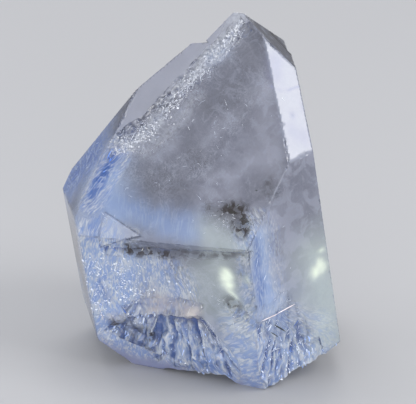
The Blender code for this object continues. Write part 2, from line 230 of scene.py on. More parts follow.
# Soft strokes of colour in the skin: face, width, strength, places
STROKES = {
    "blue": (
        (TOP, 0.95, 0.62, ((-3.9, -1.9), (-1.7, -2.1), (0.1, -2.2), (1.2, -2.2))),
        (TOP, 1.0, 0.5, ((-5.2, 0.4), (-5.0, -2.6), (-5.6, -4.3))),
        (TOP, 0.5, 0.5, ((0.6, 9.6), (0.0, 8.9))),
        ("left_rhomb", 2.0, 0.8, ((-4.6, -4.0), (-3.2, -1.0), (0.6, -2.0))),
        (FRONT, 1.6, 0.9, ((-5.7, -2.2), (-5.8, -6.0))),
        (FRONT, 1.3, 0.9, ((-3.3, -2.2), (-4.4, -5.8))),
        (FRONT, 1.0, 0.6, ((-1.4, -2.2), (-0.4, -3.6))),
        (FRONT, 1.5, 1.0, ((-3.3, -7.8), (-0.4, -8.2), (2.9, -8.7))),
        (RIGHT, 0.9, 0.9, ((-1.4, 0.3), (-1.3, -1.8), (-0.8, -4.3))),
        (RIGHT, 1.2, 0.6, ((0.0, -5.2), (0.8, -8.6))),
        ("lobe", 1.8, 0.9, ((-3.0, -6.5), (-0.7, -8.4), (2.0, -9.0))),
        ("back_break", 3.0, 0.8, ((-5.0, -3.0), (0.0, -5.0), (5.0, -3.0))),
        ("left_prism", 2.2, 0.7, ((2.0, 0.0), (2.0, -6.0))),
        ("left_back_prism", 2.4, 0.6, ((-2.0, -1.0), (0.0, -6.0))),
    ),
    "deep": (
        (TOP, 0.5, 1.0, ((-5.2, 1.5), (-5.6, 0.7), (-6.0, -0.2))),
        (TOP, 0.45, 0.8, ((-5.9, -0.6), (-6.4, -1.9))),
        (TOP, 0.9, 0.32, ((-3.9, -1.7), (-1.4, -2.0), (1.0, -2.1))),
        ("left_rhomb", 2.0, 1.0, ((-4.4, -3.8), (-2.8, -0.8))),
        (TOP, 0.9, 0.4, ((-5.6, -1.4), (-5.5, -3.4))),
        (RIGHT, 0.45, 0.65, ((-1.7, 0.0), (-1.5, -2.0), (-1.1, -4.3))),
        (FRONT, 0.6, 0.8, ((-4.6, -7.2), (-3.6, -7.9))),
        (FRONT, 0.5, 0.7, ((-1.6, -7.0), (-1.9, -8.4))),
        (FRONT, 0.6, 0.8, ((0.3, -7.8), (0.7, -9.2), (2.2, -9.2))),
        (FRONT, 0.4, 0.45, ((-5.6, -4.0), (-5.2, -5.2))),
        ("lobe", 0.7, 0.4, ((-1.6, -7.6), (-0.6, -9.0), (1.6, -9.6))),
        ("back_break", 1.0, 0.9, ((-2.0, -3.0), (-1.0, -6.0))),
    ),
    "lilac": (
        ("right_rhomb", 0.12, 0.6, ((2.4, 4.7), (2.9, 4.4), (3.6, 4.3), (4.3, 4.3))),
        ("right_rhomb", 0.5, 0.4, ((3.4, 6.4), (3.0, 5.2))),
        ("right_rhomb", 0.25, 0.5, ((4.3, 2.9),)),
        ("right_rhomb", 0.22, 0.6, ((3.3, 2.6),)),
        ("right_rhomb", 0.6, 0.35, ((2.9, 1.6), (3.8, 0.9))),
    ),
    "smoke": (
        (TOP, 1.0, 0.65, ((1.9, 9.4), (2.9, 8.6))),
        (TOP, 1.4, 1.0, ((1.9, 7.0), (1.0, 5.8))),
        (TOP, 0.9, 0.6, ((3.2, 5.9),)),
        (TOP, 1.1, 0.8, ((-0.2, 2.9), (1.2, 2.3))),
        (TOP, 1.3, 0.9, ((-0.6, 0.3), (-2.4, 0.2))),
        (TOP, 0.9, 0.6, ((-3.3, 1.4), (-4.2, 0.2))),
        (TOP, 0.7, 0.8, ((5.6, 1.5), (6.4, 1.2))),
        (TOP, 0.8, 0.2, ((4.4, 3.6), (5.2, 4.6))),
        ("right_back_rhomb", 2.6, 1.0, ((2.2, 5.6), (1.2, 4.3), (0.2, 2.6))),
        ("left_rhomb", 0.9, 0.7, ((2.2, 2.0), (3.4, 5.0))),
        (RIGHT, 1.1, 0.2, ((1.4, 3.4), (1.8, 1.2))),
    ),
    "green": (
        (TOP, 1.0, 0.5, ((2.6, -2.3), (5.2, -2.8))),
        (FRONT, 1.4, 0.6, ((3.2, -0.9), (4.0, -4.5))),
        (FRONT, 1.2, 0.4, ((1.4, -2.0), (1.6, -4.4))),
        (RIGHT, 1.9, 0.75, ((3.2, -2.3), (3.9, -5.0), (4.3, -8.0))),
        ("right_back_prism", 2.4, 0.5, ((-2.0, -2.0), (-1.0, -7.0))),
    ),
    "milk": (
        (TOP, 1.1, 0.6, ((4.0, 7.4), (5.0, 4.8), (5.8, 2.4))),
        (TOP, 0.9, 0.35, ((1.6, 10.4), (3.0, 9.2))),
        (TOP, 0.6, 0.5, ((-5.0, -3.0), (-3.2, -3.5))),
        (TOP, 0.45, 0.75, ((1.0, 3.4), (1.9, 5.1), (3.1, 6.3), (4.3, 7.8))),
        (TOP, 0.5, 0.55, ((1.6, 1.4), (3.3, 1.7), (4.6, 3.0))),
        (TOP, 0.4, 0.5, ((-3.6, 2.0), (-1.8, 1.6), (-1.2, 3.0))),
        (TOP, 0.8, 0.45, ((2.0, 0.4), (3.6, 0.7))),
        (FRONT, 1.7, 0.45, ((-2.0, -3.0), (1.4, -3.0))),
        (FRONT, 0.9, 0.5, ((2.2, -5.4), (5.4, -7.6))),
        (FRONT, 0.26, 1.0, ((2.3, -5.5), (2.9, -7.9), (3.6, -9.9))),
        (FRONT, 0.3, 0.7, ((-1.6, -6.4), (-1.0, -7.6), (-0.2, -6.3))),
        (FRONT, 0.24, 0.9, ((0.2, -7.4), (1.0, -7.2), (1.9, -7.5))),
        (RIGHT, 1.5, 0.4, ((0.6, -0.4), (1.0, -3.8))),
        ("back_prism", 2.5, 0.5, ((0.0, 4.0), (0.0, -2.0))),
    ),
    "brown": (
        (FRONT, 0.75, 1.0, ((-2.5, -5.4), (-1.0, -4.9), (0.7, -5.0))),
        (FRONT, 0.5, 0.6, ((-4.8, -6.6), (-2.6, -6.9))),
        ("back_break", 1.2, 0.6, ((2.0, 1.0), (5.0, -1.0))),
    ),
    "dark": (
        (TOP, 0.8, 0.92, ((3.8, -0.4), (4.4, -0.6))),
        (TOP, 0.65, 0.95, ((4.5, -1.1), (5.1, -1.7))),
        (TOP, 0.5, 0.6, ((2.4, -0.8), (3.2, -0.8))),
        (TOP, 0.4, 0.6, ((5.7, 1.6), (6.0, 1.0))),
        # Painted shade: this stroke and the next darken the band under the ledge on the front prism
        (FRONT, 0.48, 1.0, ((-3.3, -0.95), (-1.2, -0.85), (0.0, -0.65))),
        (FRONT, 0.36, 0.62, ((0.3, -0.5), (5.2, 0.3))),
        (FRONT, 0.7, 0.6, ((3.6, -3.7), (4.4, -4.4))),
        (FRONT, 0.8, 0.95, ((-4.3, -7.1), (-3.4, -7.4), (-2.5, -7.6))),
        (FRONT, 0.4, 0.5, ((-2.4, -7.4), (-1.2, -8.3))),
        (FRONT, 0.35, 0.6, ((-2.6, -8.6), (-0.6, -9.4), (1.6, -10.0))),
        ("right_back_rhomb", 0.5, 0.9, ((3.0, 5.8), (1.6, 3.6), (0.4, 1.6))),
        ("right_rhomb", 0.3, 0.35, ((3.3, 2.7),)),
        ("left_prism", 0.9, 0.9, ((4.4, 2.6), (3.4, -1.6))),
    ),
    # Painted glow: bright spots where light is reflected inside the stone, painted near-white into the
    # skin
    "painted_glow": (
        (FRONT, 0.42, 1.0, ((3.65, -1.5), (3.5, -2.0), (3.6, -2.4))),
        (FRONT, 0.2, 0.7, ((3.6, -2.9), (4.0, -3.2))),
        (FRONT, 0.3, 0.4, ((5.0, -1.7),)),
        (RIGHT, 0.42, 1.0, ((3.2, -3.4), (3.6, -3.1))),
        (RIGHT, 0.25, 0.6, ((3.8, -2.0),)),
    ),
    "felt": (
        (TOP, 0.9, 0.9, ((0.9, 9.8), (-0.5, 7.2), (-1.7, 4.6), (-3.4, 2.3))),
        (TOP, 1.3, 0.7, ((-3.8, 0.8), (-1.0, 1.2), (1.4, 1.8))),
        (TOP, 1.0, 0.7, ((1.2, 3.6), (3.2, 6.4), (4.2, 8.0))),
        (TOP, 1.0, 0.8, ((2.4, -1.0), (5.0, -1.6))),
        (FRONT, 1.2, 0.6, ((1.0, -2.0), (4.2, -4.6))),
    ),
    "frost": (
        (TOP, 0.6, 1.0, ((1.2, 11.9), (0.9, 10.6), (0.1, 9.2))),
        (TOP, 0.6, 0.45, ((0.1, 9.2), (-1.5, 7.2), (-2.8, 4.4))),
        (TOP, 0.16, 0.6, HILLOCK + HILLOCK[:1]),
        (TOP, 0.55, 0.75, ((-2.7, 4.3), (-3.6, 3.0), (-4.3, 2.2), (-5.4, 2.0))),
        (TOP, 0.5, 0.4, ((-0.4, 6.2), (-1.9, 3.6), (-3.2, 2.0))),
    ),
}
# Whole faces of one tone: channel, face, strength, how far from the face's plane it holds
FACE_TONES = (
    # On the right rhomb this pale tone is a painted reflection of the facet softbox, laid over that lamp's
    # own reflection
    ("pale", "right_rhomb", 1.0, 0.1),
    ("pale", TOP, 0.25, 0.1),
    ("pale", "shoulder", 0.7, 0.03),
    ("milk", RIGHT, 0.75, 0.1),
    ("milk", "right_back_prism", 0.3, 0.1),
    ("milk", "back_prism", 0.3, 0.1),
    ("milk", "left_back_prism", 0.3, 0.1),
    ("milk", "back_rhomb", 0.25, 0.1),
    ("milk", "left_back_rhomb", 0.25, 0.1),
    ("smoke", "left_rhomb", 0.5, 0.1),
    ("smoke", "left_prism", 0.9, 0.1),
    ("lilac", "lilac_break", 1.0, 0.1),
)
CHANNELS = ("pale", *STROKES)

# Where the skin is fine: face, middle line of the patch, reach, longest side of its cells
FINE_PATCHES = (
    (TOP, ((-5.4, 1.6), (-6.2, -1.8)), 0.9, 0.2),
    (TOP, ((2.4, -0.8), (5.2, -1.7)), 1.1, 0.2),
    (RIGHT, ((3.3, -3.4), (3.8, -2.0)), 0.8, 0.2),
    ("right_rhomb", ((2.4, 4.6), (4.3, 4.3)), 0.3, 0.14),
    (FRONT, ((3.5, -1.2), (4.4, -4.6)), 1.0, 0.2),
    (TOP, ((1.3, 11.6), (0.2, 9.2), (-2.5, 4.3), (-5.4, 2.0)), 1.1, 0.16),
    (FRONT, ((-5.2, -1.0), (5.3, 0.3)), 0.7, 0.16),
    (FRONT, ((-3.0, -5.4), (1.2, -4.8)), 1.0, 0.16),
    (FRONT, ((-4.6, -7.6), (-2.0, -8.0), (2.6, -8.6)), 2.2, 0.14),
    ("lobe", ((-3.4, -5.6), (-0.7, -8.4), (2.6, -9.2)), 2.6, 0.16),
    ("back_break", ((-5.0, -4.0), (0.0, -5.0), (5.0, -3.0)), 4.0, 0.3),
)

# The middle line of the splintery comb under the chip
COMB_LINE = ((-4.4, -7.2), (-3.2, -7.8), (-0.4, -8.0), (2.6, -8.6))

# Fans of fibrous grain: face, the place it fans out from, middle line of its patch, reach, strength.
# A patch begins at the first share of its reach and is full at the second, for the grain and for
# the splinters that stand on it
FAN_BORDER, BLADE_BORDER = (1.25, 0.75), (1.2, 0.8)
FANS = {
    "sparkle": (FRONT, (-2.0, 14.0), ((-5.6, -1.6), (-4.6, -5.0), (-1.0, -3.4)), 2.4, 1.0),
    "comb": (FRONT, (-0.4, 1.4), COMB_LINE, 2.0, 1.0),
    "lobe": ("lobe", (0.2, 1.6), ((-3.4, -5.6), (-0.7, -8.4), (2.6, -9.2)), 2.4, 1.0),
    "side": (RIGHT, (-1.0, 12.0), ((-1.4, 0.6), (-0.8, -4.6)), 1.6, 0.55),
    "corner": (TOP, (14.0, 30.0), ((-5.2, 1.5), (-6.2, -1.6)), 1.1, 0.8),
    "foot": (RIGHT, (-2.4, -3.0), ((0.0, -6.6), (3.0, -8.0)), 2.0, 0.6),
    "back": ("back_break", (-1.4, 3.4), ((-5.0, -4.0), (0.0, -6.0), (5.0, -3.0)), 5.0, 0.6),
}


def merged_node():
    """The node's own surface with its loose triangles joined at their corners."""
    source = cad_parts["quartz_crystal"].data
    places = np.zeros(3 * len(source.vertices))
    source.vertices.foreach_get("co", places)
    keys = np.round(places.reshape(-1, 3) / MM, 4)
    points, index = np.unique(keys, axis=0, return_inverse=True)
    corners = np.zeros(len(source.loops), int)
    source.loops.foreach_get("vertex_index", corners)
    return points, index.ravel()[corners].reshape(-1, 3)


def gathered(rows, faces, count):
    """The sum at each point of the rows of the triangles round it."""
    total = np.zeros((count, 3))
    for i in range(3):
        for axis in range(3):
            total[:, axis] += np.bincount(faces[:, i], rows[:, axis], count)
    return total


def point_normals(points, faces):
    """The direction at each point, and its sharpness: 0 where the triangles round it lie in one
    plane, and more at an edge."""
    a, b, c = (points[faces[:, i]] for i in range(3))
    area = np.cross(b - a, c - a)
    size = np.linalg.norm(area, axis=1)
    total = gathered(area, faces, len(points))
    length = sum(np.bincount(faces[:, i], size, len(points)) for i in range(3))
    whole = np.linalg.norm(total, axis=1)
    return total / np.maximum(whole, 1e-12)[:, None], 1 - whole / np.maximum(length, 1e-12)


def halved(points, faces, limit_at, rounds=12):
    """Cuts triangles until no side is longer than its limit: every side that is too long gets a
    middle point, so does the longest side of its triangles, and each triangle is cut in two, three
    or four from the middle of its longest side."""
    for _ in range(rounds):
        sides = np.sort(faces[:, [0, 1, 1, 2, 2, 0]].reshape(-1, 2), axis=1)
        keys, index = np.unique(sides[:, 0] * len(points) + sides[:, 1], return_inverse=True)
        pairs = np.stack([keys // len(points), keys % len(points)], 1)
        index = index.reshape(-1, 3)
        span = np.linalg.norm(points[pairs[:, 0]] - points[pairs[:, 1]], axis=1)
        halves = span > limit_at(points, faces, pairs)
        if not halves.any():
            break
        first = span[index].argmax(1)
        turned = (first[:, None] + np.arange(3)) % 3
        faces = np.take_along_axis(faces, turned, 1)
        index = np.take_along_axis(index, turned, 1)
        known = -1
        while known != halves.sum():
            known = halves.sum()
            halves[index[halves[index].any(1), 0]] = True
        number = np.full(len(pairs), -1)
        number[halves] = len(points) + np.arange(known)
        points = np.vstack([points, points[pairs[halves]].mean(1)])
        a, b, c = faces.T
        p, q, r = number[index].T
        whole, right, left = p < 0, q >= 0, r >= 0
        cuts = [
            (whole, (a, b, c)),
            (~whole & ~left, (a, p, c)),
            (~whole & left, (a, p, r)),
            (~whole & left, (p, c, r)),
            (~whole & ~right, (p, b, c)),
            (~whole & right, (p, b, q)),
            (~whole & right, (p, q, c)),
        ]
        faces = np.concatenate([np.stack(corners, 1)[chosen] for chosen, corners in cuts])
    return points, faces


def cell_limit(points, faces, pairs):
    """The longest side that is wanted: short on breaks and in the fans, and at sharp edges."""
    _, sharpness = point_normals(points, faces)
    sharp = sharpness > SHARP
    limit = np.where(sharp[pairs].any(1), EDGE_CELL, PLAIN_CELL)
    middle = points[pairs].mean(1)
    for name, line, reach, cell in FINE_PATCHES:
        near = reach_of(middle, on_face(name, line)) < reach
        limit = np.where(near, cell, limit)
    return limit


def cavity_of(points, faces, normals, rounds=10):
    """How far each point lies below (+) or above (-) its surroundings, in millimetres: its height
    over a copy of the surface that is averaged over its neighbours again and again."""
    count = np.bincount(faces.ravel(), minlength=len(points)).astype(float)
    soft = points
    for _ in range(rounds):
        soft = gathered(soft[faces].mean(1), faces, len(points)) / count[:, None]
    return ((soft - points) * normals).sum(1)


def fan_place(points, name, centre):
    """Turn and reach of each point round the place that a fan on a face opens from."""
    foot, right, up, _ = FACES[name]
    x = (points - foot) @ right - centre[0]
    y = (points - foot) @ up - centre[1]
    return np.arctan2(y, x), np.hypot(x, y)


def fan_grain(points, name, centre):
    """Places in a fan on a face: the turn round its centre times the usual reach, and the reach,
    both in millimetres, so that what is stretched along the second one fans out."""
    turn, reach = fan_place(points, name, centre)
    return np.stack([turn * reach.mean(), reach, np.zeros(len(points))], 1)


def heading(name, turn):
    """Directions on a face, turned from its right."""
    _, right, up, _ = FACES[name]
    return np.cos(turn)[:, None] * right + np.sin(turn)[:, None] * up


def ridges(grain, across, along, seed):
    """Sharp ridges, 0 in the furrows and 1 on the crests: noise folded at its middle value."""
    return 1 - 2 * np.abs(clouds(grain / (across, along, 1), 1.0, seed, 2))


def membership(points, normals, name, hold=0.1):
    """1 where a point lies on a face and looks its way, falling to 0 just beside it."""
    foot, _, _, normal = FACES[name]
    away = np.abs((points - foot) @ normal)
    return smooth_step(2.5 * hold, hold, away) * smooth_step(*FACING, normals @ normal)


def zones(points, normals):
    """How strong each tone is at each point: 1 - the product of (1 - strength * exp(-(d / w)^2))
    over its strokes, d being the distance from the stroke, frayed by noise."""
    shaken = frayed(points, *TONE_FRAY)
    found = {}
    for channel in CHANNELS:
        left = np.ones(len(points))
        for name, width, strength, places in STROKES.get(channel, ()):
            near = np.exp(-((reach_of(shaken, on_face(name, places)) / width) ** 2))
            left *= 1 - np.minimum(strength * near, 1)
        for tone, name, strength, hold in FACE_TONES:
            if tone == channel:
                left *= 1 - strength * membership(points, normals, name, hold)
        found[channel] = 1 - left
    return found


def in_a_plane(points):
    """1 where a point lies in the plane of a smooth face, whichever way it looks."""
    away = [np.abs((points - foot) @ normal) for foot, _, _, normal in map(FACES.get, SMOOTH_FACES)]
    return smooth_step(*IN_PLANE, np.min(away, axis=0))


def fan_fields(points, broken):
    """The grain along the fibres, how fibrous each point is and how far its splinters rise. The
    nearest fan gives the grain, and elsewhere it is the place itself, stretched upwards."""
    shaken = frayed(points, *FAN_FRAY)
    grain = shaken * (1, 1, 0.3)
    nearest, fibrous, splinters = np.zeros((3, len(points)))
    for number, (fan, (name, centre, line, reach, strength)) in enumerate(FANS.items()):
        weight = smooth_step(*FAN_BORDER, reach_of(points, on_face(name, line)) / reach)
        own = fan_grain(shaken, name, centre) + (0, 0, 10 * number)
        grain = np.where((weight > nearest)[:, None], own, grain)
        fibrous = np.where(weight > nearest, weight * strength, fibrous)
        nearest = np.maximum(nearest, weight)
        if fan in SPLINTERY:
            ridged = ridges(own, SPLINTER_ACROSS, SPLINTER_ALONG, 50 + number)
            splinters += weight * broken * (ridged - SPLINTER_LEVEL)
    return grain, fibrous, splinters


def make_skin(material):
    """The outside of the stone. Its flat faces ripple a little, its breaks are splintery along
    their fans and lumpy, the seam is crusty, and the edges are worn and nicked."""
    points, faces = halved(*merged_node(), cell_limit)
    normals, sharpness = point_normals(points, faces)
    tones = zones(points, normals)
    flat = np.max([membership(points, normals, name) for name in SMOOTH_FACES], axis=0)
    flat = np.maximum(flat, in_a_plane(points))
    edge = smooth_step(SHARP, FULLY_SHARP, sharpness)
    broken, frost = 1 - flat, tones["frost"]
    grain, fibrous, splinters = fan_fields(points, broken)

    lumps = sum(height * clouds(points, size, seed, 2) for height, size, seed in LUMPS)
    crust = CRUST * np.abs(clouds(points, CRUST_SIZE, 11, 2))
    worn = WEAR + NICKS * smooth_step(0.05, 0.5, clouds(points, NICK_SIZE, 14, 3))
    lift = RIPPLE * clouds(points, RIPPLE_SIZE, 1, 2) * (1 - edge) + edge * flat * worn
    lift += broken * lumps * (1 - frost) + frost * crust + SPLINTER_RISE * splinters
    points = np.clip(points + normals * lift[:, None], LOWEST, HIGHEST)

    normals, _ = point_normals(points, faces)
    cavity = cavity_of(points, faces, normals)
    rough = np.maximum(broken, frost)
    bare = broken * (1 - frost) * (1 - tones["brown"])
    plain = (1 - tones["brown"]) * (1 - tones["painted_glow"]) * (1 - 0.6 * tones["milk"])
    # Painted shade in the hollows of the bare breaks and painted highlight on their crests, by how far
    # each point lies below or above its surroundings
    tones["furrow"] = smooth_step(-0.01, 0.07, cavity) * bare
    tones["crest"] = smooth_step(0.01, 0.08, -cavity) * bare
    tones["fibrous"] = fibrous * plain
    # The edge tone is whitish wear and partly a painted highlight along the edges
    tones["edge"] = edge * flat * (1 - frost)

    skin = new_piece("quartz_skin", points, faces, material)
    for name, values in tones.items():
        layer = skin.data.attributes.new(name, "FLOAT", "POINT")
        layer.data.foreach_set("value", values.astype(np.float32))
    layer = skin.data.attributes.new("grain", "FLOAT_VECTOR", "POINT")
    layer.data.foreach_set("vector", grain.astype(np.float32).ravel())
    skin.data.polygons.foreach_set("use_smooth", rough[faces].mean(1) < 0.5)
    skin.data.set_sharp_from_angle(angle=math.radians(CREASE))
    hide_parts("quartz_crystal")
    return points, normals, rough


def new_piece(name, points, faces, material):
    """A mesh that rides with the stone, kept inside the box of the node."""
    points = np.clip(points, LOWEST, HIGHEST)
    mesh = bpy.data.meshes.new(name)
    mesh.from_pydata(points * MM, [], faces.tolist())
    mesh.materials.append(material)
    obj = bpy.data.objects.new(name, mesh)
    bpy.context.scene.collection.objects.link(obj)
    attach(obj, "root")
    return obj


def stamp(name, shape, centres, frames, material, bends=0.0):
    """One piece of many copies of a small shape: each point is its centre plus frame times point,
    and its ends are bent aside by bend times the square of its place along the shape."""
    corners, faces = shape
    points = centres[:, None] + np.einsum("nij,kj->nki", frames, corners)
    aside = np.broadcast_to(bends, centres.shape)[:, None]
    points = points + (4 * corners[:, 2] ** 2)[None, :, None] * aside
    shift = np.arange(len(centres))[:, None, None] * len(corners)
    new_piece(name, points.reshape(-1, 3), (faces + shift).reshape(-1, 3), material)


def walls(sides, rings):
    """Two triangles over each side of a ring of corners, for every ring but the last."""
    faces = []
    for row in range(0, sides * (rings - 1), sides):
        for i in range(sides):
            a, b = row + i, row + (i + 1) % sides
            faces += [(a, b, b + sides), (a, b + sides, a + sides)]
    return faces


def spindle(sides, rings):
    """A needle one long and one wide: rings of corners on a circle round its middle line, at even
    heights, with walls between them and a point at each end."""
    turns = np.arange(sides) * math.tau / sides
    levels = (np.arange(rings) + 1) / (rings + 1) - 0.5
    corners = [(math.cos(turn) / 2, math.sin(turn) / 2, level) for level in levels for turn in turns]
    faces, last = walls(sides, rings), sides * (rings - 1)
    for i in range(sides):
        j = (i + 1) % sides
        faces += [(j, i, last + sides), (last + i, last + j, last + sides + 1)]
    return np.array(corners + [(0, 0, -0.5), (0, 0, 0.5)]), np.array(faces)


def blade():
    """A four-sided splinter one long: a square foot, a wide middle and a slanting tip."""
    foot = [(-0.4, -0.3, -0.5), (0.4, -0.3, -0.5), (0.4, 0.3, -0.5), (-0.4, 0.3, -0.5)]
    middle = [(-0.5, -0.4, 0.1), (0.5, -0.35, 0.2), (0.45, 0.4, 0.25), (-0.5, 0.35, 0.15)]
    tip = [(-0.3, -0.1, 0.3), (0.15, -0.12, 0.5), (0.12, 0.1, 0.5), (-0.25, 0.12, 0.32)]
    faces = walls(4, 3) + [(3, 2, 1), (3, 1, 0), (8, 9, 10), (8, 10, 11)]
    return np.array(foot + middle + tip), np.array(faces)


# A three-sided needle, a three-sided thread that can bend, and an eight-sided grain
NEEDLE, THREAD, GRAIN = spindle(3, 1), spindle(3, 3), spindle(4, 1)


def frames_along(directions, lengths, widths, dice):
    """Frames whose third axis runs along each direction, turned about it at random: the first two
    axes are as long as the width, the third as long as the length."""
    helper = unit(dice.normal(size=(len(directions), 3)))
    first = unit(np.cross(directions, helper))
    second = np.cross(directions, first)
    widths = np.broadcast_to(widths, len(directions))[:, None]
    lengths = np.broadcast_to(lengths, len(directions))[:, None]
    return np.stack([first * widths, second * widths, directions * lengths], 2)


# Sprays of fibres: face, places of the patch's middle line, its half width, how many, depth range,
# direction on the face in degrees from right, spread in degrees, length range
SPRAYS = (
    (TOP, ((-5.2, 1.5), (-5.6, 0.6), (-6.2, -1.2)), 0.3, 170, (0.0, 0.5), 62, 12, (0.5, 1.7)),
    (TOP, ((-5.4, -0.6), (-5.4, -4.0)), 0.8, 90, (0.1, 1.0), 72, 34, (0.4, 1.3)),
    (TOP, ((-3.6, -1.6), (1.6, -2.1)), 0.9, 70, (0.3, 1.8), 80, 60, (0.3, 0.9)),
    (FRONT, ((-5.6, -1.6), (-5.7, -6.4)), 1.0, 170, (0.0, 0.8), 97, 30, (0.3, 1.3)),
    (FRONT, ((-3.6, -1.6), (-3.4, -5.4)), 1.2, 160, (0.0, 1.0), 92, 34, (0.3, 1.2)),
    (FRONT, ((-1.2, -1.8), (0.2, -3.8)), 0.9, 50, (0.1, 1.2), 85, 45, (0.3, 1.0)),
    (RIGHT, ((-1.5, 0.4), (-1.0, -4.6)), 0.7, 130, (0.05, 0.9), 80, 24, (0.4, 1.5)),
    (RIGHT, ((-0.6, -6.0), (2.4, -8.2)), 1.3, 130, (0.05, 0.9), 50, 26, (0.4, 1.4)),
    ("lobe", ((-3.6, -6.0), (-0.6, -8.0), (2.4, -9.0)), 1.3, 260, (0.0, 0.7), 95, 34, (0.3, 1.2)),
    ("left_rhomb", ((-4.0, -3.6), (-2.4, -0.4)), 1.2, 160, (0.0, 0.9), 70, 24, (0.6, 1.8)),
    ("back_break", ((-5.0, -3.0), (0.0, -5.0), (5.0, -3.0)), 2.0, 300, (0.0, 0.8), 90, 40, (0.6, 2.0)),
)
# Bright needles: laid out as the sprays are
NEEDLES = (
    (FRONT, ((-5.8, -2.0), (-5.8, -6.6)), 0.7, 884, (-0.02, 0.2), 100, 30, (0.2, 0.9)),
    (FRONT, ((-3.8, -1.8), (-3.6, -5.2)), 1.1, 884, (-0.02, 0.3), 92, 36, (0.2, 0.9)),
    (FRONT, ((-1.4, -2.0), (0.6, -3.8)), 0.9, 306, (0.0, 0.5), 85, 60, (0.2, 0.7)),
    (RIGHT, ((-1.2, 0.2), (-0.4, -4.6)), 0.8, 306, (0.0, 0.4), 78, 26, (0.3, 1.0)),
    (RIGHT, ((-0.4, -6.0), (2.4, -8.2)), 1.3, 510, (0.0, 0.4), 50, 30, (0.3, 1.0)),
    ("lobe", ((-3.6, -6.0), (-0.6, -8.0), (2.4, -9.0)), 1.3, 884, (-0.03, 0.3), 97, 36, (0.2, 0.9)),
    (TOP, ((-5.4, 0.6), (-5.6, -4.0)), 0.8, 238, (0.0, 0.5), 72, 40, (0.3, 0.9)),
    ("left_rhomb", ((-4.0, -3.6), (-2.4, -0.4)), 1.2, 204, (0.0, 0.5), 70, 24, (0.4, 1.2)),
    ("back_break", ((-5.0, -3.0), (0.0, -5.0), (5.0, -3.0)), 2.0, 544, (0.0, 0.4), 90, 40, (0.4, 1.4)),
)
# Pale curled wisps: laid out as the sprays are
WISPS = (
    (TOP, ((1.2, 11.2), (0.9, 10.3), (0.2, 9.0)), 0.4, 924, (-0.04, 0.12), 60, 46, (0.2, 0.9)),
    (TOP, ((0.2, 9.0), (-1.4, 6.8), (-2.8, 4.2)), 0.5, 1144, (-0.03, 0.15), 52, 50, (0.2, 0.9)),
    (TOP, ((-2.6, 4.4), (-3.8, 2.7), (-5.4, 1.9)), 0.6, 924, (-0.03, 0.2), 40, 50, (0.2, 1.0)),
    (TOP, ((-0.4, 6.6), (-1.8, 3.6), (-3.4, 1.6)), 0.9, 924, (0.0, 0.4), 50, 60, (0.3, 1.1)),
    (TOP, ((0.4, 2.4), (2.4, 5.2), (4.0, 8.0)), 0.9, 924, (0.0, 0.4), 55, 60, (0.3, 1.2)),
    (TOP, ((-4.6, -0.4), (-1.0, 1.2), (3.0, 1.6)), 1.2, 1144, (0.0, 0.5), 20, 70, (0.3, 1.2)),
    (TOP, ((-4.4, 0.6), (-4.6, -2.6)), 0.8, 352, (0.0, 0.5), 60, 50, (0.3, 1.2)),
    ("shoulder", ((-5.0, 3.0), (-3.4, 6.2), (-1.4, 9.0)), 0.5, 198, (0.02, 0.3), 62, 14, (0.3, 1.2)),
    (RIGHT, ((0.8, 3.2), (1.2, -1.0), (1.6, -5.0)), 1.1, 572, (0.0, 0.7), 65, 40, (0.3, 1.2)),
    (FRONT, ((1.6, -2.0), (3.4, -7.4)), 1.2, 528, (0.0, 0.7), 80, 60, (0.3, 1.2)),
    (TOP, ((2.6, -0.8), (5.2, -1.5)), 0.7, 420, (-0.03, 0.1), 60, 70, (0.1, 0.6)),
    (FRONT, ((3.0, -3.4), (4.8, -4.8)), 0.7, 300, (-0.03, 0.1), 60, 70, (0.1, 0.6)),
    (FRONT, ((2.2, -5.6), (2.8, -7.6), (3.5, -9.6)), 0.14, 198, (-0.06, 0.1), 108, 9, (0.4, 1.2)),
)

# How far fibres stray across their spray, as a share of its half width, and how many degrees they
# dip into the stone
STRAY, DIP = 0.7, 9

# How far fibres, flakes, moss and powder may reach out of the stone
FIBRE_OUT, FLAKE_OUT, MOSS_OUT, POWDER_OUT = 0.03, 0.02, 0.01, 0.04

# Fibres grow in clumps: the size of the noise that decides, and between which values one may fail
CLUMP, CLUMP_FAILS = 1.1, (-0.7, 0.4)


def spray(row, dice):
    """Centres, directions and lengths of a spray: even along its middle line, normal across it,
    and turned about the face's outward axis by a normal spread."""
    name, line, width, count, depth, turned, spread, length = row
    places = places_along(line, dice.uniform(0, len(line) - 1.0001, count))
    places = places + dice.normal(0, width, (count, 2)) * STRAY
    centres = seen_under(name, places, dice.uniform(*depth, count))
    level = heading(name, np.radians(turned + dice.normal(0, spread, count)))
    dip = np.radians(dice.normal(0, DIP, count))[:, None]
    directions = level * np.cos(dip) + FACES[name][3] * np.sin(dip)
    return centres, directions, dice.uniform(*length, count)


BODY = BVHTree.FromPolygons(*(part.tolist() for part in merged_node()))


def depths_of(points):
    """How deep each point lies under the nearest place of the node's surface, in millimetres, and
    less than zero outside."""
    depths = []
    for point in points.tolist():
        place, normal, _, _ = BODY.find_nearest(point)
        depths.append((place - Vector(point)).dot(normal))
    return np.array(depths)


def inside(centres, reach, bends, out):
    """Which fibres have both ends in the stone, or reach out of it by less than the last value."""
    return np.minimum(depths_of(centres + reach + bends), depths_of(centres - reach + bends)) > -out


def make_sprays(name, shape, rows, material, widths, bend, seed):
    """Many fine needles or threads, as the rows say. Those that would stand out are left out."""
    dice = np.random.default_rng(seed)
    parts = [spray(row, dice) for row in rows]
    centres, directions, lengths = (np.concatenate(column) for column in zip(*parts))
    bends = unit(dice.normal(size=centres.shape)) * lengths[:, None] * bend
    kept = inside(centres, directions * lengths[:, None] / 2, bends, FIBRE_OUT)
    kept &= clouds(centres, CLUMP, seed, 2) > dice.uniform(*CLUMP_FAILS, len(centres))
    widths = dice.uniform(*widths, kept.sum())
    frames = frames_along(directions[kept], lengths[kept], widths, dice)
    stamp(name, shape, centres[kept], frames, material, bends[kept])


